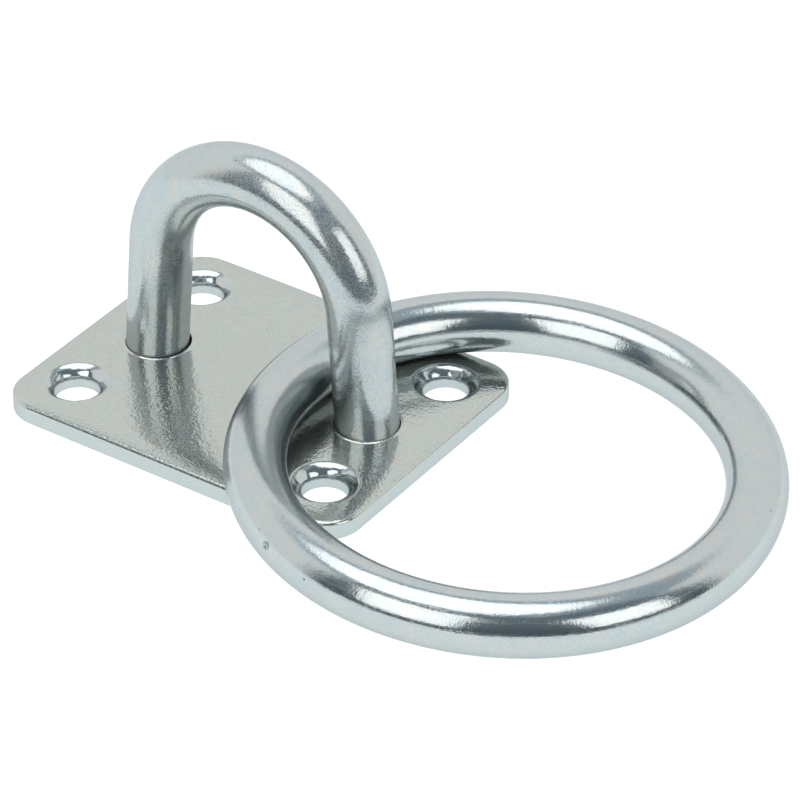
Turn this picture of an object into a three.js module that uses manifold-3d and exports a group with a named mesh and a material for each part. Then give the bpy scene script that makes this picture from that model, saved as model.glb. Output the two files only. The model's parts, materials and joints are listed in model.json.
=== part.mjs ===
// Ring pad eye: a deck plate with four countersunk screw holes, a round bow whose legs pass through the plate
// and are welded flush underneath, and a loose round ring threaded on the bow.
// Millimetres, +Z up. The origin is the centre of the plate's underside, and the bow stands in the XZ plane.

import * as THREE from 'three';
import { mergeVertices } from 'three/addons/utils/BufferGeometryUtils.js';
import Module from 'manifold-3d';

// Base plate
const PLATE_LENGTH = 51.5;
const PLATE_WIDTH = 41;
const PLATE_THICKNESS = 2.7;
const PLATE_CORNER_RADIUS = 5;
const PLATE_RIM_RADIUS = 0.3;
const SCREW_SPACING_X = 37.8;
const SCREW_SPACING_Y = 26;
const SCREW_HOLE_RADIUS = 2.9;
const COUNTERSINK_RADIUS = 4.2;
const COUNTERSINK_DEPTH = 1.15;

// Bow: a rod with two slightly splayed legs and a round arch
const ROD_RADIUS = 4;
const LEG_OFFSET = 16.1; // from the middle to each leg's axis, at the plate's top face
const ARCH_RADIUS = 15; // to the rod's axis
const ARCH_HEIGHT = 17.4; // of the arch's centre above the underside

// Leg holes, and the weld around each leg in a chamfer on the underside
const LEG_HOLE_RADIUS = 4.45;
const LEG_HOLE_OFFSET = 16;
const LEG_HOLE_LIP = 0.25;
const CHAMFER_RADIUS = 6.2;
const CHAMFER_SLOPE = 1.25; // outwards per unit of depth
const WELD_THROAT = 0.9;
const WELD_RECESS = 0.1;

// Ring: it lies with its far side on the deck and its near side on the plate
const RING_WIRE_RADIUS = 3.85;
const RING_RADIUS = 30.25; // to the wire's axis
const RING_OFFSET_X = 37.2;
const RING_OFFSET_Y = -1;

const GAP = 0.3; // between faces that touch on the real object
const OVERCUT = 2; // how far a cutting tool runs past a face

// Facets
const CORNER_SEGMENTS = 8;
const RIM_SEGMENTS = 3;
const HOLE_SEGMENTS = 40;
const ROD_SIDES = 20;
const BOW_STEPS = 40;
const RING_STEPS = 64;

// Steel, and how rough each finish of it is
const STEEL = { color: 0xc4c6c8, metalness: 1 };
const TUMBLED = 0.3;
const POLISHED_BAR = 0.12;
const POLISHED_WIRE = 0.1;
const WELDED = 0.45;

const wasm = await Module();
wasm.setup();

// A closed three.js geometry as a solid that can be joined and cut.
function toSolid(geometry) {
  const bare = geometry.clone();
  bare.deleteAttribute('normal');
  bare.deleteAttribute('uv');
  const merged = mergeVertices(bare);
  const corners = merged.index.array;
  const triVerts = [];
  for (let i = 0; i < corners.length; i += 3) {
    const [a, b, c] = corners.slice(i, i + 3);
    const isReal = a !== b && b !== c && c !== a;
    if (isReal) triVerts.push(a, b, c);
  }
  return new wasm.Manifold(new wasm.Mesh({
    numProp: 3,
    vertProperties: new Float32Array(merged.attributes.position.array),
    triVerts: new Uint32Array(triVerts),
  }));
}

function toGeometry(solid) {
  const { vertProperties, triVerts } = solid.getMesh();
  const geometry = new THREE.BufferGeometry();
  geometry.setAttribute('position', new THREE.BufferAttribute(vertProperties, 3));
  geometry.setIndex(new THREE.BufferAttribute(triVerts, 1));
  geometry.computeVertexNormals();
  return geometry;
}

// A solid of revolution about a vertical axis, from [radius, height] points listed upwards along its outside.
function turned(profile, x, y = 0) {
  const points = profile.map(([radius, height]) => new THREE.Vector2(radius, height));
  const geometry = new THREE.LatheGeometry(points, HOLE_SEGMENTS);
  return geometry.rotateX(Math.PI / 2).translate(x, y, 0);
}

function piece(name, geometry, roughness) {
  const mesh = new THREE.Mesh(geometry, new THREE.MeshStandardMaterial({ ...STEEL, roughness }));
  mesh.name = name;
  return mesh;
}

function plateOutline() {
  const x = PLATE_LENGTH / 2 - PLATE_CORNER_RADIUS;
  const y = PLATE_WIDTH / 2 - PLATE_CORNER_RADIUS;
  const quarter = Math.PI / 2;
  const shape = new THREE.Shape();
  shape.absarc(x, y, PLATE_CORNER_RADIUS, 0, quarter);
  shape.absarc(-x, y, PLATE_CORNER_RADIUS, quarter, 2 * quarter);
  shape.absarc(-x, -y, PLATE_CORNER_RADIUS, 2 * quarter, 3 * quarter);
  shape.absarc(x, -y, PLATE_CORNER_RADIUS, 3 * quarter, 4 * quarter);
  return shape;
}

// The blank has a rounded top edge and a square bottom edge.
function plateBlank() {
  const rounded = new THREE.ExtrudeGeometry(plateOutline(), {
    depth: PLATE_THICKNESS - 2 * PLATE_RIM_RADIUS,
    bevelThickness: PLATE_RIM_RADIUS,
    bevelSize: PLATE_RIM_RADIUS,
    bevelOffset: -PLATE_RIM_RADIUS,
    bevelSegments: RIM_SEGMENTS,
    curveSegments: CORNER_SEGMENTS,
  }).translate(0, 0, PLATE_RIM_RADIUS);
  const lowerHalf = new THREE.ExtrudeGeometry(plateOutline(), {
    depth: PLATE_THICKNESS / 2,
    bevelEnabled: false,
    curveSegments: CORNER_SEGMENTS,
  });
  return toSolid(rounded).add(toSolid(lowerHalf));
}

function screwHoleTool(x, y) {
  const slope = (COUNTERSINK_RADIUS - SCREW_HOLE_RADIUS) / COUNTERSINK_DEPTH;
  return turned([
    [0, -OVERCUT],
    [SCREW_HOLE_RADIUS, -OVERCUT],
    [SCREW_HOLE_RADIUS, PLATE_THICKNESS - COUNTERSINK_DEPTH],
    [COUNTERSINK_RADIUS + slope * OVERCUT, PLATE_THICKNESS + OVERCUT],
    [0, PLATE_THICKNESS + OVERCUT],
  ], x, y);
}

// The bore for a leg, with a rounded lip on top.
function legHoleTool(x) {
  const lip = Array.from({ length: RIM_SEGMENTS }, (_, step) => {
    const angle = ((step + 1) / RIM_SEGMENTS) * (Math.PI / 2);
    const outwards = LEG_HOLE_LIP * (1 - Math.cos(angle));
    return [LEG_HOLE_RADIUS + outwards, PLATE_THICKNESS - LEG_HOLE_LIP * (1 - Math.sin(angle))];
  });
  return turned([
    [0, -OVERCUT],
    [LEG_HOLE_RADIUS, -OVERCUT],
    [LEG_HOLE_RADIUS, PLATE_THICKNESS - LEG_HOLE_LIP],
    ...lip,
    [LEG_HOLE_RADIUS + LEG_HOLE_LIP, PLATE_THICKNESS + OVERCUT],
    [0, PLATE_THICKNESS + OVERCUT],
  ], x);
}

// The cone under a leg hole that the weld fills, centred on the leg's foot.
function weldChamferTool(x) {
  return turned([
    [0, -OVERCUT],
    [CHAMFER_RADIUS + CHAMFER_SLOPE * OVERCUT, -OVERCUT],
    [ROD_RADIUS, (CHAMFER_RADIUS - ROD_RADIUS) / CHAMFER_SLOPE],
    [0, (CHAMFER_RADIUS - ROD_RADIUS) / CHAMFER_SLOPE],
  ], x);
}

function basePlate() {
  let plate = plateBlank();
  for (const side of [-1, 1]) {
    plate = plate.subtract(toSolid(legHoleTool(side * LEG_HOLE_OFFSET)));
    plate = plate.subtract(toSolid(weldChamferTool(side * footOffset())));
    for (const end of [-1, 1]) {
      const hole = screwHoleTool(side * SCREW_SPACING_X / 2, end * SCREW_SPACING_Y / 2);
      plate = plate.subtract(toSolid(hole));
    }
  }
  return piece('base_plate', toGeometry(plate), TUMBLED);
}

// How far each leg leans inwards from upright, in radians: it runs straight into the arch.
function legLean() {
  const rise = ARCH_HEIGHT - PLATE_THICKNESS;
  const toCentre = Math.hypot(LEG_OFFSET, rise);
  return Math.acos(ARCH_RADIUS / toCentre) - Math.atan2(rise, LEG_OFFSET);
}

// Each leg's axis at the underside.
function footOffset() {
  return LEG_OFFSET + PLATE_THICKNESS * Math.tan(legLean());
}

// The rod's axis as seen from the front, from below the plate up one leg, over the arch and down the other.
function bowAxis() {
  const lean = legLean();
  const footX = footOffset() + OVERCUT * Math.tan(lean);
  const path = new THREE.Path();
  path.moveTo(-footX, -OVERCUT);
  path.lineTo(-ARCH_RADIUS * Math.cos(lean), ARCH_HEIGHT + ARCH_RADIUS * Math.sin(lean));
  path.absarc(0, ARCH_HEIGHT, ARCH_RADIUS, Math.PI - lean, lean, true);
  path.lineTo(footX, -OVERCUT);
  return path;
}

// A flat path stood up in the XZ plane.
class UprightCurve extends THREE.Curve {
  constructor(path) {
    super();
    this.path = path;
  }

  getPoint(t, target = new THREE.Vector3()) {
    const point = this.path.getPoint(t);
    return target.set(point.x, 0, point.y);
  }
}

// The rod is swept along its axis, and its feet are ground flush with the plate's underside.
function bow() {
  const section = new THREE.Shape().absarc(0, 0, ROD_RADIUS, 0, 2 * Math.PI);
  const rod = new THREE.ExtrudeGeometry(section, {
    steps: BOW_STEPS,
    curveSegments: ROD_SIDES / 2,
    extrudePath: new UprightCurve(bowAxis()),
  });
  const height = ARCH_HEIGHT + ARCH_RADIUS + ROD_RADIUS + OVERCUT;
  const aboveDeck = new THREE.BoxGeometry(PLATE_LENGTH, PLATE_WIDTH, height).translate(0, 0, height / 2);
  return piece('bow', toGeometry(toSolid(rod).intersect(toSolid(aboveDeck))), POLISHED_BAR);
}

// A ring of weld metal with a three-cornered section: up the leg, and out along the chamfer.
function weld(name, side) {
  const innerRadius = ROD_RADIUS + GAP;
  const outerRadius = CHAMFER_RADIUS - GAP * Math.hypot(1, CHAMFER_SLOPE) - CHAMFER_SLOPE * WELD_RECESS;
  const section = [
    [innerRadius, WELD_RECESS],
    [outerRadius, WELD_RECESS],
    [outerRadius - CHAMFER_SLOPE * (WELD_THROAT - WELD_RECESS), WELD_THROAT],
    [innerRadius, WELD_THROAT],
    [innerRadius, WELD_RECESS],
  ];
  return piece(name, turned(section, side * footOffset()), WELDED);
}

// The ring slopes down from the plate to the deck, by as much as the plate's long edges lift it.
function ringSlope() {
  const farEdge = PLATE_WIDTH / 2 + Math.abs(RING_OFFSET_Y);
  const reach = Math.sqrt(RING_RADIUS ** 2 - farEdge ** 2);
  return Math.asin((PLATE_THICKNESS + GAP) / (RING_RADIUS + reach));
}

function ring() {
  const torus = new THREE.TorusGeometry(RING_RADIUS, RING_WIRE_RADIUS, ROD_SIDES, RING_STEPS);
  const mesh = piece('ring', torus, POLISHED_WIRE);
  const slope = ringSlope();
  mesh.rotation.y = slope;
  mesh.position.set(RING_OFFSET_X, RING_OFFSET_Y, RING_WIRE_RADIUS + RING_RADIUS * Math.sin(slope));
  return mesh;
}

const padEye = new THREE.Group();
padEye.add(basePlate(), bow(), weld('left_weld', -1), weld('right_weld', 1), ring());

export default padEye;
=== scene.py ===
"""Looks of the ring pad eye: smooth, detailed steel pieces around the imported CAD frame.

The frame is in metres. Shapes are worked out in millimetres here and turned into metres as meshes are made.
"""

import json
import math

import bpy
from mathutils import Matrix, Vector, noise
from mathutils.geometry import delaunay_2d_cdt


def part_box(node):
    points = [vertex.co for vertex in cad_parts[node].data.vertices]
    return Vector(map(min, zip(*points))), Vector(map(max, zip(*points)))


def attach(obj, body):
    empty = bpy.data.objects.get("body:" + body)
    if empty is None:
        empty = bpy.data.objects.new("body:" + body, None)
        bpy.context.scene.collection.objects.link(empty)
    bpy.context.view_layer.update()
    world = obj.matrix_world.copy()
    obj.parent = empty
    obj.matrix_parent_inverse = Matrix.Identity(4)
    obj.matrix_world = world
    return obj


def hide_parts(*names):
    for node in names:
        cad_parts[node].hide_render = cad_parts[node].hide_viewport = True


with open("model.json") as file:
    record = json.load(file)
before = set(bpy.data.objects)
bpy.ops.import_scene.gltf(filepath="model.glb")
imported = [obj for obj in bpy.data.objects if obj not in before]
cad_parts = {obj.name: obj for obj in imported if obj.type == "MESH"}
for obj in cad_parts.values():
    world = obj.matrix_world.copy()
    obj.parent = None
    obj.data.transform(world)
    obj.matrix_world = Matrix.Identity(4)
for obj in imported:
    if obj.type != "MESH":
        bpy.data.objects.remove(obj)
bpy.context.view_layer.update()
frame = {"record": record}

MM = 0.001

# Every length below is in millimetres, and every angle in degrees

# Camera: it looks down at a point beside the plate, at the photograph's angle
CAMERA_AZIMUTH = 34.6
CAMERA_ELEVATION = 34.6
CAMERA_DISTANCE = 605.4
CAMERA_LENS = 218.5
CAMERA_TARGET = (14.2, 9.8, 0.1)
CAMERA_CLIP_START = 10

# Studio: a pale light tent with a dark opening at the front, two softboxes in the opening and one overhead.
# Radiance 1 is pure white in a mirror.
SOFTBOX_DISTANCE = 1000
FRONT_SOFTBOX = {"azimuth": 1.2, "elevation": 32.5, "size": (655, 840), "radiance": 1.8}
RIGHT_SOFTBOX = {"azimuth": 83.5, "elevation": 27, "size": (550, 640), "radiance": 1.77}
TOP_SOFTBOX_DIAMETER = 945
TOP_SOFTBOX_CENTRE = (-140, -15, 1000)
TOP_SOFTBOX_RADIANCE = 1.6
SOFTBOX_COLOUR = (1.03, 1.0, 0.965)
TENT_COLOUR = (1.04, 1.06, 1.05)
CEILING_COLOUR = (0.42, 0.5, 0.55)
CEILING_FROM = 51
BACKDROP_COLOUR = (1.05, 1.05, 1.05)
OPENING_LOW_COLOUR = (0.055, 0.09, 0.115)
OPENING_HIGH_COLOUR = (0.15, 0.2, 0.23)
OPENING_FADE = (0.1, 0.8)  # sines of the elevations between which the low colour turns into the high one
OPENING_AZIMUTH = 38.5
OPENING_HALF_WIDTH = 80.5
OPENING_TOP = 68
OPENING_BLUR = 7
FLOOR_RADIUS = 450
FLOOR_SIDES = 96
FLOOR_SETBACK = 310
FLOOR_CLEARANCE = 0.02
FLOOR_COLOUR = (0.15, 0.15, 0.15)
FLOOR_GLOW_COLOUR = (0.94, 1.0, 1.0)
FLOOR_GLOW = 1.05
FLOOR_ROUGHNESS = 0.7
FLOOR_SPECULAR = 0.1

# Plate: what the frame's boxes don't say
CORNER_RADIUS = 5.0
CORNER_STEPS = 12
SIDE_STEPS = 20
TOP_RIM_RADIUS = 0.42
BOTTOM_EDGE_RADIUS = 0.26
EDGE_ROLL_DEPTH = 0.28
EDGE_ROLL_WIDTH = 4.0
EDGE_ROLL_POWER = 2.2
EDGE_BANDS = (2.1, 1.7, 1.35, 1.0)  # insets of the loops that follow the edge on the top face
CROWN_HEIGHT = 0.3
CROWN_ALONG = 0.0004  # how fast the crown falls away along X, per square millimetre
CROWN_ACROSS = 0.0006
FACE_SPACING = 1.0
FACE_MARGIN = 0.3
HOLE_CLEARANCE = 0.4
SCREW_BORE_RADIUS = 2.88
COUNTERSINK_RADIUS = 4.2
COUNTERSINK_DEPTH = 1.05
EDGE_BREAK = 0.08
CHATTER_MARKS = 11
CHATTER_SHARE = 0.3
CHATTER_DRIFT = 0.12
COUNTERSINK_BULGE = 0.1
CONE_STEPS = 8
LEG_HOLE_RADIUS = 4.13
LEG_HOLE_SHIFT = (-0.11, 0.06)
LIP_WIDTH = 0.36
LIP_HEIGHT = 0.14
LIP_FOOT_ROUNDING = 0.3
LIP_ROUNDING = 0.09
HOLE_MOUTH_ROUNDING = 0.1
WELD_CHAMFER_RADIUS = 6.1
WELD_CHAMFER_SLOPE = 1.25  # outwards per millimetre of depth

# The plate's materials, in the order in which it holds them
TUMBLED = 0
MACHINED = 1
SHEARED = 2

# Bow and ring
ARCH_RADIUS = 15.0
FOOT_HEIGHT = 0.05
STATIONS_PER_MM = 2
HAND_POLISH_WAVE = 0.008
HAND_POLISH_LENGTH = 6.0
STREAK_STRETCH = 30

# Welds
WELD_OVERLAP = 0.1
WELD_EDGE_GAP = 0.25
WELD_INNER_HEIGHT = 0.22
WELD_OUTER_HEIGHT = 0.16
WELD_TOP = 1.4
WELD_ROUNDINGS = (0.05, 0.12, 0.05, 0.05)
WELD_FACE_BELOW = 0.6
WELD_RIPPLES = 22
WELD_RIPPLE_DEPTH = 0.06
WELD_RIPPLE_LEAN = 2
WELD_ROUGHNESS = 0.05
WELD_ROUGH_PATCHES = 3

# Steel: the colours and the sizes of what covers it
EDGE_TINT = (0.7, 0.7, 0.72)
COOL_STEEL = (0.495, 0.55, 0.57)
WARM_STEEL = (0.54, 0.56, 0.55)
DUST_COLOUR = (0.3, 0.3, 0.29)
PIT_COLOUR = (0.05, 0.05, 0.05)
PIT_COVER = 0.8
PIT_SPACING = 1.6
PIT_RADIUS = 0.13
PIT_DEPTH = 0.05
PIT_FULL_SHARE = 0.5
MARK_FULL_SHARE = 0.4
TINT_PATCH_SIZE = 2.5
CLOUD_SIZE = 1.2
CLOUD_STRENGTH = 0.04
SPECK_SIZE = 0.07
SPECK_FADE = 0.12
STREAK_WIDTH = 0.14
WORN_STREAK_WIDTH = 0.35
MARK_GRAIN_SIZE = 0.22

# The parts of a noise's 0 to 1 over which it fades from nothing to full
MIDDLE = (0.35, 0.65)
WIDE_MIDDLE = (0.3, 0.7)
HIGH = (0.56, 0.7)
CRISP = (0.42, 0.52)

# Knocks and scuffs: centre and radius
RING_MARKS = (((24.2, -32.3, 7.25), 0.75), ((22.4, -31.1, 8.1), 0.2), ((31.2, -34.5, 6.6), 0.2))
BOW_MARKS = (((-11.35, -2.35, 18.9), 0.3), ((-12.0, -2.7, 14.5), 0.25))

# How fine the round meshes are
ROD_SIDES = 96
HOLE_POINTS = 112
FILLET_STEPS = 5


def millimetres(vector):
    """A vector in millimetres from one in metres."""
    return Vector(vector) / MM


def polar(radius, angle):
    """The point at that radius and angle, in radians."""
    return Vector((radius * math.cos(angle), radius * math.sin(angle)))


def looking_back(azimuth, elevation):
    """Unit vector from the object towards a camera or lamp at that azimuth and elevation."""
    turn = math.radians(azimuth)
    rise = math.radians(elevation)
    level = math.cos(rise)
    return Vector((math.sin(turn) * level, -math.cos(turn) * level, math.sin(rise)))


# ---------------------------------------------------------------- what the frame says


def read_frame():
    """The driving sizes and places, in millimetres, from the CAD boxes, openings and joint."""
    plate_low, plate_high = map(millimetres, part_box("base_plate"))
    bow_low, bow_high = map(millimetres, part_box("bow"))
    weld_low, weld_high = map(millimetres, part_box("right_weld"))
    ring_low, ring_high = map(millimetres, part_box("ring"))
    record = frame["record"]
    pivot = millimetres(record["behaviour"]["joints"][0]["pos_m"])
    holes = []
    for opening in record["physics"]["openings"]:
        if opening["name"].startswith("screw_hole"):
            low, high = map(millimetres, opening["box_m"])
            holes.append(((low + high) / 2).to_2d())
    plate = plate_high - plate_low
    rod_radius = (bow_high.y - bow_low.y) / 2
    wire_radius = pivot.x - ring_low.x
    return {
        "half_length": plate.x / 2,
        "half_width": plate.y / 2,
        "thickness": plate.z,
        "holes": holes,
        "rod_radius": rod_radius,
        "arch_height": bow_high.z - rod_radius - ARCH_RADIUS,
        "foot": (weld_low.x + weld_high.x) / 2,
        "wire_radius": wire_radius,
        "ring_radius": (ring_high.y - ring_low.y) / 2 - wire_radius,
        "ring_middle": ((ring_low + ring_high) / 2).to_2d(),
    }


def leg_lean():
    """How far each leg leans inwards from upright: it runs straight from its foot into the arch."""
    to_centre = math.hypot(size["foot"], size["arch_height"])
    return math.acos(ARCH_RADIUS / to_centre) - math.atan2(size["arch_height"], size["foot"])


# ---------------------------------------------------------------- mesh helpers


def make_object(name, vertices, faces, materials, face_material=None):
    """A smooth mesh object from millimetre vertices."""
    mesh = bpy.data.meshes.new(name)
    mesh.from_pydata([tuple(Vector(v) * MM) for v in vertices], [], faces)
    for material in materials:
        mesh.materials.append(material)
    if face_material:
        mesh.polygons.foreach_set("material_index", face_material)
    mesh.polygons.foreach_set("use_smooth", [True] * len(mesh.polygons))
    mesh.validate()
    obj = bpy.data.objects.new(name, mesh)
    bpy.context.scene.collection.objects.link(obj)
    return obj


def weight_normals(obj):
    """Keeps flat faces flat to the eye, right up to their rounded edges."""
    modifier = obj.modifiers.new("flat faces", "WEIGHTED_NORMAL")
    modifier.mode = "FACE_AREA"
    modifier.weight = 100
    modifier.keep_sharp = True


def wave(point):
    """The shallow unevenness that hand polishing leaves in round bar."""
    return HAND_POLISH_WAVE * noise.noise(point / HAND_POLISH_LENGTH)


def swept_rod(name, stations, radius, material, closed):
    """A round bar through stations of (centre, outward normal, binormal, distance along).

    Each point also keeps its place on a bar that is straight and much shorter, where plain noise makes streaks.
    A closed bar's places go round a circle, so that its streaks meet.
    """
    vertices, faces, places, depths = [], [], [], []
    turn = 2 * math.pi / ROD_SIDES
    length = len(stations) * (stations[1][3] - stations[0][3])
    for centre, outward, binormal, along in stations:
        lengthwise = Vector((along / STREAK_STRETCH, 0))
        if closed:
            lengthwise = polar(length / STREAK_STRETCH / (2 * math.pi), 2 * math.pi * along / length)
        for side in range(ROD_SIDES):
            round_bar = polar(radius, side * turn)
            across = math.cos(side * turn) * outward + math.sin(side * turn) * binormal
            vertices.append(centre + across * (radius + wave(centre + across * radius)))
            places.append(Vector((*lengthwise, round_bar.x)) * MM)
            depths.append(round_bar.y * MM)
    spans = len(stations) if closed else len(stations) - 1
    for i in range(spans):
        here, beyond = i * ROD_SIDES, (i + 1) % len(stations) * ROD_SIDES
        for side in range(ROD_SIDES):
            after = (side + 1) % ROD_SIDES
            faces.append((here + side, here + after, beyond + after, beyond + side))
    if not closed:
        last = (len(stations) - 1) * ROD_SIDES
        faces.append(tuple(reversed(range(ROD_SIDES))))
        faces.append(tuple(range(last, last + ROD_SIDES)))
    rod = make_object(name, vertices, faces, [material])
    place = rod.data.attributes.new("streak_place", "FLOAT_VECTOR", "POINT")
    place.data.foreach_set("vector", [x for point in places for x in point])
    depth = rod.data.attributes.new("streak_depth", "FLOAT", "POINT")
    depth.data.foreach_set("value", depths)
    return rod


def filleted(points, radii):
    """A polyline with its inner corners rounded. The first and last points are kept as they are."""
    result = [Vector(points[0])]
    for before, corner, after, radius in zip(points, points[1:], points[2:], radii):
        corner = Vector(corner)
        to_before = (Vector(before) - corner).normalized()
        to_after = (Vector(after) - corner).normalized()
        half = to_before.angle(to_after) / 2
        centre = corner + (to_before + to_after).normalized() * radius / math.sin(half)
        start = corner + to_before * radius / math.tan(half) - centre
        end = corner + to_after * radius / math.tan(half) - centre
        turn = math.pi - 2 * half
        for step in range(FILLET_STEPS + 1):
            share = step / FILLET_STEPS
            arm = start * math.sin((1 - share) * turn) + end * math.sin(share * turn)
            result.append(centre + arm / math.sin(turn))
    result.append(Vector(points[-1]))
    return result


# ---------------------------------------------------------------- base plate


def plate_outline(inset):
    """Points round the plate's edge, moved inwards by inset."""
    x = size["half_length"] - CORNER_RADIUS
    y = size["half_width"] - CORNER_RADIUS
    radius = CORNER_RADIUS - inset
    corners = ((x, y, 0), (-x, y, 1), (-x, -y, 2), (x, -y, 3))
    points = []
    for index, (cx, cy, quarter) in enumerate(corners):
        for step in range(CORNER_STEPS + 1):
            angle = (quarter + step / CORNER_STEPS) * math.pi / 2
            points.append(Vector((cx, cy)) + polar(radius, angle))
        next_x, next_y, next_quarter = corners[(index + 1) % 4]
        side_end = Vector((next_x, next_y)) + polar(radius, next_quarter * math.pi / 2)
        side_start = points[-1]
        points += [side_start.lerp(side_end, step / SIDE_STEPS) for step in range(1, SIDE_STEPS)]
    return points


def circle(centre, radius, chatter=0.0, phase=0.0):
    """Points round a circle, or part of the way towards a polygon where a countersink has chattered."""
    points = []
    facet = 2 * math.pi / CHATTER_MARKS
    for step in range(HOLE_POINTS):
        angle = 2 * math.pi * step / HOLE_POINTS
        drifting = angle + phase + CHATTER_DRIFT * math.sin(2 * angle + phase)
        within = (drifting % facet) - facet / 2
        polygon = math.cos(facet / 2) / math.cos(within)
        points.append(centre + polar(radius * (1 - chatter * (1 - polygon)), angle))
    return points


def screw_hole_loops(centre, phase):
    """Loops of (points, height) down a bell-mouthed countersink, shallow at the face, and its bore."""
    top = size["thickness"]
    rim = Vector((COUNTERSINK_RADIUS, top))
    foot = Vector((SCREW_BORE_RADIUS, top - COUNTERSINK_DEPTH))
    bulge = -(foot - rim).orthogonal().normalized() * COUNTERSINK_BULGE
    loops = [(circle(centre, COUNTERSINK_RADIUS + FACE_MARGIN), top)]
    for step in range(CONE_STEPS + 1):
        share = step / CONE_STEPS
        radius, height = rim.lerp(foot, share) + bulge * 4 * share * (1 - share)
        chatter = CHATTER_SHARE * math.sin(math.pi * share)
        loops.append((circle(centre, radius, chatter, phase), height))
    bore = filleted(
        [foot, (SCREW_BORE_RADIUS, 0), (SCREW_BORE_RADIUS + FACE_MARGIN, 0)],
        (EDGE_BREAK,),
    )
    loops += [(circle(centre, radius), height) for radius, height in bore[1:]]
    return loops


def leg_hole_loops(side):
    """Loops over the raised lip, down the hole for a leg, and out along the chamfer that its weld fills.

    The hole is upright and round, at the place where the leaning leg meets the top face.
    """
    top = size["thickness"]
    inwards, backwards = LEG_HOLE_SHIFT
    hole_x = size["foot"] - top * math.tan(leg_lean()) + inwards
    chamfer_height = (WELD_CHAMFER_RADIUS - LEG_HOLE_RADIUS) / WELD_CHAMFER_SLOPE
    profile = filleted(
        [
            (LEG_HOLE_RADIUS + LIP_WIDTH + FACE_MARGIN, top),
            (LEG_HOLE_RADIUS + LIP_WIDTH, top),
            (LEG_HOLE_RADIUS + LIP_ROUNDING, top + LIP_HEIGHT),
            (LEG_HOLE_RADIUS, top),
            (LEG_HOLE_RADIUS, chamfer_height),
            (WELD_CHAMFER_RADIUS, 0),
            (WELD_CHAMFER_RADIUS + FACE_MARGIN, 0),
        ],
        (LIP_FOOT_ROUNDING, LIP_ROUNDING, HOLE_MOUTH_ROUNDING, EDGE_BREAK, EDGE_BREAK),
    )
    loops = []
    for radius, height in profile:
        share = min(1, height / chamfer_height)
        x = size["foot"] + (hole_x - size["foot"]) * share
        loops.append((circle(Vector((side * x, backwards * share)), radius), height))
    return loops


def plate_edge_loops():
    """Loops from the top face over the rounded rim and down the wall to the underside."""
    top = size["thickness"]
    profile = filleted(
        [
            (TOP_RIM_RADIUS + FACE_MARGIN, top),
            (0, top),
            (0, 0),
            (BOTTOM_EDGE_RADIUS + FACE_MARGIN, 0),
        ],
        (TOP_RIM_RADIUS, BOTTOM_EDGE_RADIUS),
    )
    bands = [(inset, top) for inset in EDGE_BANDS]
    return [(plate_outline(inset), height) for inset, height in bands + profile]


def inset_of(x, y):
    """How far a point is inside the plate's outline."""
    beyond_x = abs(x) - size["half_length"] + CORNER_RADIUS
    beyond_y = abs(y) - size["half_width"] + CORNER_RADIUS
    past_corner = math.hypot(max(beyond_x, 0), max(beyond_y, 0))
    return max(CORNER_RADIUS - past_corner - min(max(beyond_x, beyond_y), 0), 0)


def crowned(x, y, height):
    """A point of the plate, lifted where the top face is crowned and dropped where its edge rolls down."""
    rolled = EDGE_ROLL_DEPTH * max(1 - inset_of(x, y) / EDGE_ROLL_WIDTH, 0) ** EDGE_ROLL_POWER
    fall = ((CROWN_ALONG * x * x) ** 3 + (CROWN_ACROSS * y * y) ** 3) ** (1 / 3)
    rise = CROWN_HEIGHT - fall - rolled
    return (x, y, height * (1 + rise / size["thickness"]))


def grid_points(holes):
    """A grid of points over the plate, clear of its edge and of the holes' rims."""
    circles = []
    for rim in holes:
        middle = sum(rim, Vector((0, 0))) / len(rim)
        circles.append((middle, max((point - middle).length for point in rim) + HOLE_CLEARANCE))
    columns = int(size["half_length"] / FACE_SPACING)
    rows = int(size["half_width"] / FACE_SPACING)
    points = []
    for column in range(-columns + 1, columns):
        for row in range(-rows + 1, rows):
            point = Vector((column, row)) * FACE_SPACING
            near_edge = inset_of(point.x, point.y) < EDGE_BANDS[0] + FACE_MARGIN
            near_hole = any((point - middle).length < reach for middle, reach in circles)
            if not near_edge and not near_hole:
                points.append(point)
    return points


def flat_face(boundary, holes):
    """Triangles between an outer loop and round holes. Gives the extra inside points and index triples."""
    loops = [boundary] + holes
    rims = [point for loop in loops for point in loop]
    edges = []
    start = 0
    for loop in loops:
        edges += [(start + k, start + (k + 1) % len(loop)) for k in range(len(loop))]
        start += len(loop)
    inside = grid_points(holes)
    owners = [number for number, loop in enumerate(loops) for _ in loop] + [0] * len(inside)
    faces, origins = delaunay_2d_cdt(rims + inside, edges, [], 0, 1e-6)[2:4]
    triangles = []
    for face in faces:
        corners = [origins[k][0] for k in face]
        around = {owners[k] for k in corners}
        fills_a_hole = len(around) == 1 and around != {0}
        if not fills_a_hole:
            triangles.append(corners)
    return inside, triangles


def band_quads(upper, lower, count, inwards):
    """Faces between two loops of count points, given their first vertices. Those of holes face inwards."""
    quads = []
    for k in range(count):
        after = (k + 1) % count
        quad = (upper + k, lower + k, lower + after, upper + after)
        quads.append(tuple(reversed(quad)) if inwards else quad)
    return quads


def band_finish(band, bands, is_edge, is_screw_hole):
    """Which of the plate's materials a band of faces has, counted from the top face down."""
    wall = len(EDGE_BANDS) + FILLET_STEPS + 1
    if is_screw_hole and 0 < band < bands - 1:
        return MACHINED
    if is_edge and band == wall:
        return SHEARED
    return TUMBLED


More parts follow.
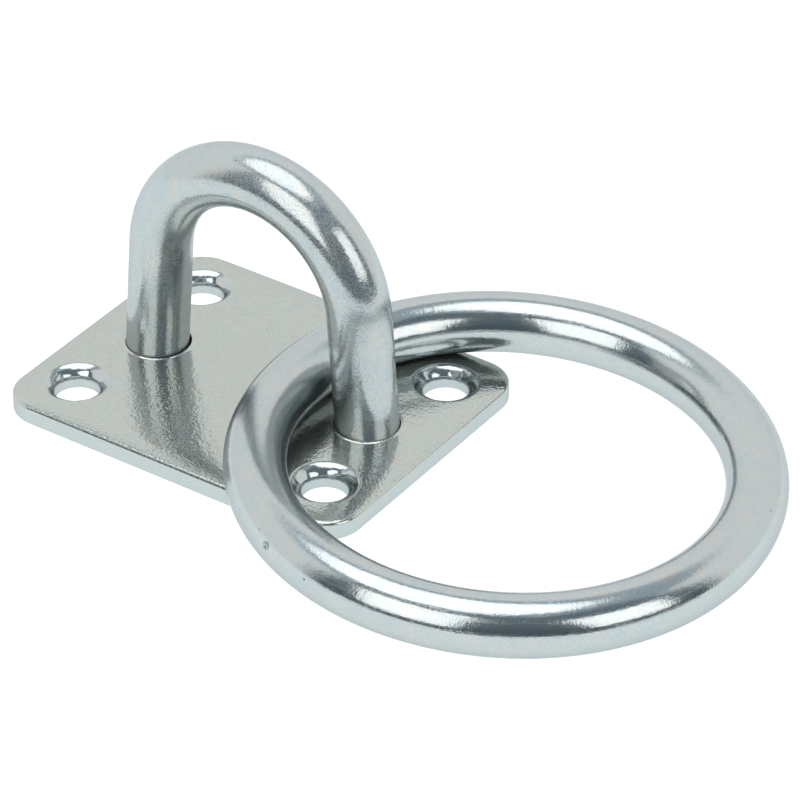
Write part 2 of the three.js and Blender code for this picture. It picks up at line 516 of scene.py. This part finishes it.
def make_plate(materials):
    """The stamped plate: rounded rim, four countersunk screw holes, two leg holes with weld chamfers.

    Its materials are the tumbled face, the machined countersinks and the sheared wall, in that order.
    """
    edge = plate_edge_loops()
    screw_holes = [screw_hole_loops(centre, phase) for phase, centre in enumerate(size["holes"])]
    leg_holes = [leg_hole_loops(side) for side in (-1, 1)]
    boundaries = [edge] + screw_holes + leg_holes
    vertices, faces, face_material = [], [], []
    starts = []
    for loops in boundaries:
        first = len(vertices)
        starts.append([first + k * len(loops[0][0]) for k in range(len(loops))])
        for points, height in loops:
            vertices += [crowned(p.x, p.y, height) for p in points]
    for number, loops in enumerate(boundaries):
        is_screw_hole = 0 < number <= len(screw_holes)
        for band, (upper, lower) in enumerate(zip(starts[number], starts[number][1:])):
            quads = band_quads(upper, lower, len(loops[0][0]), inwards=number > 0)
            faces += quads
            finish = band_finish(band, len(loops) - 1, number == 0, is_screw_hole)
            face_material += [finish] * len(quads)
    for end, height in ((0, size["thickness"]), (-1, 0.0)):
        outer = edge[end][0]
        holes = [loops[end][0] for loops in screw_holes + leg_holes]
        inside, triangles = flat_face(outer, holes)
        lookup = []
        for number, loops in enumerate(boundaries):
            lookup += range(starts[number][end], starts[number][end] + len(loops[0][0]))
        lookup += range(len(vertices), len(vertices) + len(inside))
        vertices += [crowned(p.x, p.y, height) for p in inside]
        for triangle in triangles:
            corners = tuple(lookup[k] for k in triangle)
            faces.append(corners if end == 0 else tuple(reversed(corners)))
            face_material.append(TUMBLED)
    plate = make_object("deck_plate", vertices, faces, materials, face_material)
    weight_normals(plate)
    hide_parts("base_plate")
    return finish_piece(plate, "base")


# ---------------------------------------------------------------- bow, welds and ring


def bow_stations():
    """Stations up one leg, round the arch and down the other."""
    lean = leg_lean()
    foot, height = size["foot"], size["arch_height"]
    leg_top = Vector((ARCH_RADIUS * math.cos(lean), height + ARCH_RADIUS * math.sin(lean)))
    leg_length = (leg_top - Vector((foot, 0))).length
    leg_steps = round(leg_length * STATIONS_PER_MM)
    arch_angle = math.pi - 2 * lean
    arch_steps = round(ARCH_RADIUS * arch_angle * STATIONS_PER_MM)
    outline = []
    for step in range(leg_steps):
        point = Vector((foot, 0)).lerp(leg_top, step / leg_steps)
        outline.append((point, lean, leg_length * step / leg_steps))
    for step in range(arch_steps + 1):
        angle = lean + arch_angle * step / arch_steps
        point = Vector((0, height)) + polar(ARCH_RADIUS, angle)
        outline.append((point, angle, leg_length + ARCH_RADIUS * (angle - lean)))
    total = 2 * leg_length + ARCH_RADIUS * arch_angle
    for step in reversed(range(leg_steps)):
        point = Vector((-foot, 0)).lerp(Vector((-leg_top.x, leg_top.y)), step / leg_steps)
        outline.append((point, math.pi - lean, total - leg_length * step / leg_steps))
    stations = []
    for point, angle, along in outline:
        centre = Vector((point.x, 0, point.y))
        outward = Vector((math.cos(angle), 0, math.sin(angle)))
        stations.append((centre, outward, Vector((0, 1, 0)), along))
    return stations


def make_bow(steel):
    """The bent bar. Its feet are cut level, just above the plate's underside."""
    bow = swept_rod("eye_bow", bow_stations(), size["rod_radius"], steel, closed=False)
    stations = len(bow.data.vertices) // ROD_SIDES
    slant = math.tan(leg_lean())
    for foot in (0, stations - 1):
        for vertex in bow.data.vertices[foot * ROD_SIDES : (foot + 1) * ROD_SIDES]:
            vertex.co.x -= math.copysign(1, vertex.co.x) * slant * (FOOT_HEIGHT * MM - vertex.co.z)
            vertex.co.z = FOOT_HEIGHT * MM
    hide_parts("bow")
    return finish_piece(bow, "base")


def make_weld(name, side, node, steel):
    """A rippled weld bead that fills the chamfer round one foot, just above the plate's underside."""
    inner = size["rod_radius"] - WELD_OVERLAP
    corners = [
        (inner, WELD_INNER_HEIGHT),
        (WELD_CHAMFER_RADIUS - WELD_EDGE_GAP, WELD_OUTER_HEIGHT),
        (LEG_HOLE_RADIUS, WELD_TOP),
        (inner, WELD_TOP),
    ]
    profile = filleted([corners[-1], *corners, corners[0]], WELD_ROUNDINGS)[1:-1]
    centre = Vector((side * size["foot"], 0))
    count = HOLE_POINTS * 2
    vertices, faces = [], []
    for radius, height in profile:
        outwards = (radius - size["rod_radius"]) / (WELD_CHAMFER_RADIUS - size["rod_radius"])
        for step in range(count):
            angle = math.pi * step / HOLE_POINTS
            wave_angle = WELD_RIPPLES / 2 * angle + WELD_RIPPLE_LEAN * outwards
            ripple = WELD_RIPPLE_DEPTH * abs(math.sin(wave_angle))
            rough = WELD_ROUGHNESS * noise.noise(Vector((radius, WELD_ROUGH_PATCHES * angle, side)))
            spot = centre + polar(radius, angle)
            lift = ripple + rough if height < WELD_FACE_BELOW else 0
            vertices.append((spot.x, spot.y, height + lift))
    for k in range(len(profile)):
        upper, lower = k * count, (k + 1) % len(profile) * count
        for step in range(count):
            after = (step + 1) % count
            faces.append((upper + step, upper + after, lower + after, lower + step))
    weld = make_object(name, vertices, faces, [steel])
    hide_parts(node)
    return finish_piece(weld, "base")


def ring_stations():
    """Round the ring, which slopes from the plate's long edges down to the deck."""
    radius, wire = size["ring_radius"], size["wire_radius"]
    edge = size["half_width"] + abs(size["ring_middle"].y)
    reach = math.sqrt(radius**2 - edge**2)
    slope = math.asin(size["thickness"] / (radius + reach))
    downhill = Vector((math.cos(slope), 0, -math.sin(slope)))
    across = Vector((0, 1, 0))
    axis = downhill.cross(across)
    centre = Vector((*size["ring_middle"], wire + radius * math.sin(slope)))
    steps = round(2 * math.pi * radius * STATIONS_PER_MM)
    stations = []
    for step in range(steps):
        angle = 2 * math.pi * step / steps
        outward = math.cos(angle) * downhill + math.sin(angle) * across
        stations.append((centre + radius * outward, outward, -axis, radius * angle))
    return stations


def make_ring(steel):
    """The loose ring, closed, with no visible joint."""
    ring = swept_rod("mooring_ring", ring_stations(), size["wire_radius"], steel, closed=True)
    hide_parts("ring")
    return finish_piece(ring, "ring")


def finish_piece(obj, body):
    """Says which body the piece moves with."""
    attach(obj, body)
    return obj


# ---------------------------------------------------------------- materials


def node(tree, kind, **settings):
    """A new node with those settings."""
    made = tree.nodes.new(kind)
    for key, value in settings.items():
        setattr(made, key, value)
    return made


def noise_value(tree, place, size_mm, detail=3.0):
    """Noise from 0 to 1 whose blobs are about size_mm across. place is in metres."""
    texture = node(tree, "ShaderNodeTexNoise")
    texture.inputs["Scale"].default_value = 1 / (size_mm * MM)
    texture.inputs["Detail"].default_value = detail
    tree.links.new(place, texture.inputs["Vector"])
    return texture.outputs["Fac"]


def streak_value(tree, width_mm):
    """Noise drawn out along a round bar, from the places that swept_rod keeps on its points."""
    texture = node(tree, "ShaderNodeTexNoise", noise_dimensions="4D")
    texture.inputs["Scale"].default_value = 1 / (width_mm * MM)
    texture.inputs["Detail"].default_value = 2.0
    place = node(tree, "ShaderNodeAttribute", attribute_name="streak_place")
    depth = node(tree, "ShaderNodeAttribute", attribute_name="streak_depth")
    tree.links.new(place.outputs["Vector"], texture.inputs["Vector"])
    tree.links.new(depth.outputs["Fac"], texture.inputs["W"])
    return texture.outputs["Fac"]


def map_range(tree, value, low, high, to_low=0.0, to_high=1.0, kind="LINEAR"):
    """The value, held between low and high and turned into to_low to to_high."""
    ranged = node(tree, "ShaderNodeMapRange", interpolation_type=kind)
    for key, number in (("From Min", low), ("From Max", high), ("To Min", to_low), ("To Max", to_high)):
        ranged.inputs[key].default_value = number
    tree.links.new(value, ranged.inputs["Value"])
    return ranged.outputs["Result"]


def combine(tree, operation, first, second):
    """Maths on two sockets, or on a socket and a number."""
    maths = node(tree, "ShaderNodeMath", operation=operation)
    for socket, value in zip(maths.inputs, (first, second)):
        if isinstance(value, (int, float)):
            socket.default_value = value
        else:
            tree.links.new(value, socket)
    return maths.outputs["Value"]


def mix_colours(tree, factor, first, second):
    """The first colour where the factor is 0 and the second where it is 1. Each is a socket or a colour."""
    mixed = node(tree, "ShaderNodeMix", data_type="RGBA")
    tree.links.new(factor, mixed.inputs["Factor"])
    for socket, colour in ((mixed.inputs[6], first), (mixed.inputs[7], second)):
        if isinstance(colour, tuple):
            socket.default_value = (*colour, 1)
        else:
            tree.links.new(colour, socket)
    return mixed.outputs[2]


def add_bumps(tree, shader, bumps):
    """Chains bumps of (height socket, depth in millimetres) into the shader's normal."""
    normal = None
    for height, depth_mm in bumps:
        bumped = node(tree, "ShaderNodeBump")
        bumped.inputs["Distance"].default_value = depth_mm * MM
        tree.links.new(height, bumped.inputs["Height"])
        if normal:
            tree.links.new(normal, bumped.inputs["Normal"])
        normal = bumped.outputs["Normal"]
    tree.links.new(normal, shader.inputs["Normal"])


def pit_value(tree, place, spacing_mm, radius_mm, share):
    """1 in small round pits, one in a share of the cells that are spacing_mm apart, and 0 elsewhere."""
    cells = node(tree, "ShaderNodeTexVoronoi")
    cells.inputs["Scale"].default_value = 1 / (spacing_mm * MM)
    tree.links.new(place, cells.inputs["Vector"])
    reach = radius_mm / spacing_mm
    full = PIT_FULL_SHARE * reach
    spot = map_range(tree, cells.outputs["Distance"], full, reach, 1.0, 0.0, "SMOOTHSTEP")
    split = node(tree, "ShaderNodeSeparateColor")
    tree.links.new(cells.outputs["Color"], split.inputs["Color"])
    chosen = combine(tree, "LESS_THAN", split.outputs["Red"], share)
    return combine(tree, "MULTIPLY", spot, chosen)


def mark_value(tree, place, marks):
    """1 in a piece's few knocks and scuffs, each a (centre, radius), broken up by fine noise."""
    broken = map_range(tree, noise_value(tree, place, MARK_GRAIN_SIZE, detail=2.0), *CRISP)
    marked = 0.0
    for centre, radius in marks:
        away = node(tree, "ShaderNodeVectorMath", operation="DISTANCE")
        away.inputs[1].default_value = Vector(centre) * MM
        tree.links.new(place, away.inputs[0])
        distance = away.outputs["Value"]
        full = MARK_FULL_SHARE * radius * MM
        near = map_range(tree, distance, full, radius * MM, 1.0, 0.0, "SMOOTHSTEP")
        marked = combine(tree, "MAXIMUM", near, marked)
    return combine(tree, "MULTIPLY", marked, broken)


def steel_material(
    name,
    roughness,
    grain,
    peel,
    cool=COOL_STEEL,
    warm=WARM_STEEL,
    streaks=0.0,
    pits=0.06,
    dust=0.1,
    metallic=0.92,
    haze_from=0.5,
    marks=(),
):
    """Stainless steel.

    roughness is (polished, hazy), for the shiny metal and for the fine dull specks in it.
    haze_from is how rare the specks are, from 0 to 1.
    grain and peel are the (size, depth) of the fine sparkle and of the broader orange peel.
    cool and warm are the tints that drift over it.
    streaks is the depth of lengthwise polishing lines on round bar.
    pits is the share of places that have a pit, and dust is how much the grain's hollows are darkened.
    marks are the piece's own knocks and scuffs.
    """
    material = bpy.data.materials.new(name)
    material.use_nodes = True
    tree = material.node_tree
    shader = tree.nodes["Principled BSDF"]
    shader.inputs["Metallic"].default_value = metallic
    shader.inputs["Specular Tint"].default_value = (*EDGE_TINT, 1)
    place = node(tree, "ShaderNodeTexCoord").outputs["Object"]
    drift = map_range(tree, noise_value(tree, place, TINT_PATCH_SIZE), *MIDDLE)
    grains = noise_value(tree, place, grain[0], detail=2.0)
    tint = mix_colours(tree, drift, cool, warm)
    dusted = mix_colours(tree, map_range(tree, grains, *MIDDLE, dust, 0.0), tint, DUST_COLOUR)
    pit = pit_value(tree, place, PIT_SPACING, PIT_RADIUS, pits)
    if marks:
        pit = combine(tree, "MAXIMUM", pit, mark_value(tree, place, marks))
    pitted = mix_colours(tree, combine(tree, "MULTIPLY", pit, PIT_COVER), dusted, PIT_COLOUR)
    tree.links.new(pitted, shader.inputs["Base Color"])
    polished, hazy = roughness
    clouds = noise_value(tree, place, CLOUD_SIZE, detail=4.0)
    cloud = map_range(tree, clouds, *WIDE_MIDDLE, -CLOUD_STRENGTH, CLOUD_STRENGTH)
    specks = combine(tree, "ADD", noise_value(tree, place, SPECK_SIZE, detail=0.0), cloud)
    haze = map_range(tree, specks, haze_from, haze_from + SPECK_FADE, polished, hazy, "SMOOTHSTEP")
    peels = noise_value(tree, place, peel[0], detail=1.0)
    unpitted = combine(tree, "SUBTRACT", 1.0, pit)
    bumps = [(grains, grain[1]), (peels, peel[1]), (unpitted, PIT_DEPTH)]
    if streaks:
        bumps.append((streak_value(tree, STREAK_WIDTH), streaks))
        worn = map_range(tree, streak_value(tree, WORN_STREAK_WIDTH), *HIGH, 0.0, polished)
        haze = combine(tree, "ADD", haze, worn)
    tree.links.new(haze, shader.inputs["Roughness"])
    add_bumps(tree, shader, bumps)
    return material


# ---------------------------------------------------------------- studio


def make_camera():
    """The photograph's camera, in the middle of its frame and with no depth of field."""
    data = bpy.data.cameras.new("camera")
    data.lens = CAMERA_LENS
    data.clip_start = CAMERA_CLIP_START * MM
    camera = bpy.data.objects.new("camera", data)
    back = looking_back(CAMERA_AZIMUTH, CAMERA_ELEVATION)
    camera.location = (Vector(CAMERA_TARGET) + back * CAMERA_DISTANCE) * MM
    camera.rotation_mode = "QUATERNION"
    camera.rotation_quaternion = (-back).to_track_quat("-Z", "Y")
    bpy.context.scene.collection.objects.link(camera)
    bpy.context.scene.camera = camera


def add_softbox(name, place, aim, width, height, radiance, shape="RECTANGLE"):
    """A flat lamp whose face has that radiance in a mirror."""
    data = bpy.data.lights.new(name, "AREA")
    data.shape = shape
    data.size = width * MM
    data.size_y = height * MM
    data.color = SOFTBOX_COLOUR
    face = data.size * data.size_y
    if shape == "ELLIPSE":
        face *= math.pi / 4
    data.energy = radiance * math.pi * face
    lamp = bpy.data.objects.new(name, data)
    lamp.location = Vector(place) * MM
    lamp.rotation_mode = "QUATERNION"
    lamp.rotation_quaternion = (Vector(aim) - Vector(place)).to_track_quat("-Z", "Y")
    lamp.visible_camera = False
    bpy.context.scene.collection.objects.link(lamp)


def add_softboxes():
    """Two upright softboxes that face the object and a round one that hangs level above it."""
    for name, box in (("front_softbox", FRONT_SOFTBOX), ("right_softbox", RIGHT_SOFTBOX)):
        place = looking_back(box["azimuth"], box["elevation"]) * SOFTBOX_DISTANCE
        add_softbox(name, place, (0, 0, 0), *box["size"], box["radiance"])
    x, y, z = TOP_SOFTBOX_CENTRE
    across = TOP_SOFTBOX_DIAMETER
    add_softbox("top_softbox", (x, y, z), (x, y, 0), across, across, TOP_SOFTBOX_RADIANCE, "ELLIPSE")


def facing_value(tree, direction, azimuth):
    """The cosine of the angle between a direction, made level, and an azimuth."""
    level = node(tree, "ShaderNodeVectorMath", operation="MULTIPLY")
    level.inputs[1].default_value = (1, 1, 0)
    unit = node(tree, "ShaderNodeVectorMath", operation="NORMALIZE")
    facing = node(tree, "ShaderNodeVectorMath", operation="DOT_PRODUCT")
    facing.inputs[1].default_value = looking_back(azimuth, 0)
    tree.links.new(direction, level.inputs[0])
    tree.links.new(level.outputs["Vector"], unit.inputs[0])
    tree.links.new(unit.outputs["Vector"], facing.inputs[0])
    return facing.outputs["Value"]


def make_tent():
    """The world: a pale tent with a dark opening at the front, seen by reflections but not by the camera."""
    world = bpy.data.worlds.new("light_tent")
    bpy.context.scene.world = world
    world.use_nodes = True
    tree = world.node_tree
    direction = node(tree, "ShaderNodeTexCoord").outputs["Generated"]
    facing = facing_value(tree, direction, OPENING_AZIMUTH)
    split = node(tree, "ShaderNodeSeparateXYZ")
    tree.links.new(direction, split.inputs["Vector"])
    rise = split.outputs["Z"]
    blurs = (-OPENING_BLUR, OPENING_BLUR)
    sides = [math.cos(math.radians(OPENING_HALF_WIDTH - blur)) for blur in blurs]
    tops = [math.sin(math.radians(OPENING_TOP + blur)) for blur in blurs]
    seams = [math.sin(math.radians(CEILING_FROM + blur / 2)) for blur in blurs]
    across = map_range(tree, facing, *sides, kind="SMOOTHSTEP")
    below = map_range(tree, rise, *tops, 1.0, 0.0, "SMOOTHSTEP")
    ceiling = map_range(tree, rise, *seams, kind="SMOOTHSTEP")
    walls = mix_colours(tree, ceiling, TENT_COLOUR, CEILING_COLOUR)
    higher = map_range(tree, rise, *OPENING_FADE)
    opening = mix_colours(tree, higher, OPENING_LOW_COLOUR, OPENING_HIGH_COLOUR)
    tent = mix_colours(tree, combine(tree, "MULTIPLY", across, below), walls, opening)
    seen = node(tree, "ShaderNodeLightPath").outputs["Is Camera Ray"]
    colour = mix_colours(tree, seen, tent, BACKDROP_COLOUR)
    tree.links.new(colour, tree.nodes["Background"].inputs["Color"])


def make_floor():
    """A round white table top just under the plate, set back from the camera."""
    sides = range(FLOOR_SIDES)
    rim = [(*polar(FLOOR_RADIUS, 2 * math.pi * k / FLOOR_SIDES), 0) for k in sides]
    faces = [(0, 1 + k, 1 + (k + 1) % FLOOR_SIDES) for k in sides]
    material = bpy.data.materials.new("white_table")
    material.use_nodes = True
    shader = material.node_tree.nodes["Principled BSDF"]
    shader.inputs["Base Color"].default_value = (*FLOOR_COLOUR, 1)
    shader.inputs["Roughness"].default_value = FLOOR_ROUGHNESS
    shader.inputs["Specular IOR Level"].default_value = FLOOR_SPECULAR
    shader.inputs["Emission Color"].default_value = (*FLOOR_GLOW_COLOUR, 1)
    shader.inputs["Emission Strength"].default_value = FLOOR_GLOW
    floor = make_object("white_table", [(0, 0, 0), *rim], faces, [material])
    floor.location = -looking_back(OPENING_AZIMUTH, 0) * FLOOR_SETBACK * MM
    floor.location.z = -FLOOR_CLEARANCE * MM


# ---------------------------------------------------------------- the scene

size = read_frame()

make_camera()
add_softboxes()
make_tent()
make_floor()
bpy.context.scene.view_settings.view_transform = "Standard"

plate_steel = steel_material(
    "plate_steel",
    cool=(0.505, 0.55, 0.53),
    warm=(0.535, 0.545, 0.505),
    roughness=(0.03, 0.13),
    grain=(0.38, 0.031),
    peel=(1.0, 0.02),
    dust=0.18,
    haze_from=0.55,
)
machined_steel = steel_material(
    "machined_steel",
    roughness=(0.06, 0.12),
    grain=(0.2, 0.005),
    peel=(0.5, 0.012),
    pits=0.02,
)
sheared_steel = steel_material(
    "sheared_steel",
    cool=(0.51, 0.57, 0.58),
    warm=(0.54, 0.57, 0.57),
    roughness=(0.2, 0.35),
    grain=(0.2, 0.006),
    peel=(0.6, 0.01),
    pits=0.02,
)
bow_steel = steel_material(
    "bow_steel",
    roughness=(0.085, 0.46),
    grain=(0.24, 0.015),
    peel=(0.9, 0.012),
    streaks=0.0008,
    dust=0.03,
    metallic=0.9,
    haze_from=0.495,
    marks=BOW_MARKS,
)
ring_steel = steel_material(
    "ring_steel",
    roughness=(0.075, 0.22),
    grain=(0.26, 0.014),
    peel=(1.0, 0.011),
    streaks=0.008,
    dust=0.13,
    metallic=0.96,
    marks=RING_MARKS,
)
weld_steel = steel_material(
    "weld_steel",
    cool=(0.42, 0.40, 0.36),
    warm=(0.5, 0.42, 0.3),
    roughness=(0.25, 0.45),
    grain=(0.3, 0.02),
    peel=(0.8, 0.03),
)

make_plate([plate_steel, machined_steel, sheared_steel])
make_bow(bow_steel)
make_weld("left_weld_bead", -1, "left_weld", weld_steel)
make_weld("right_weld_bead", 1, "right_weld", weld_steel)
make_ring(ring_steel)
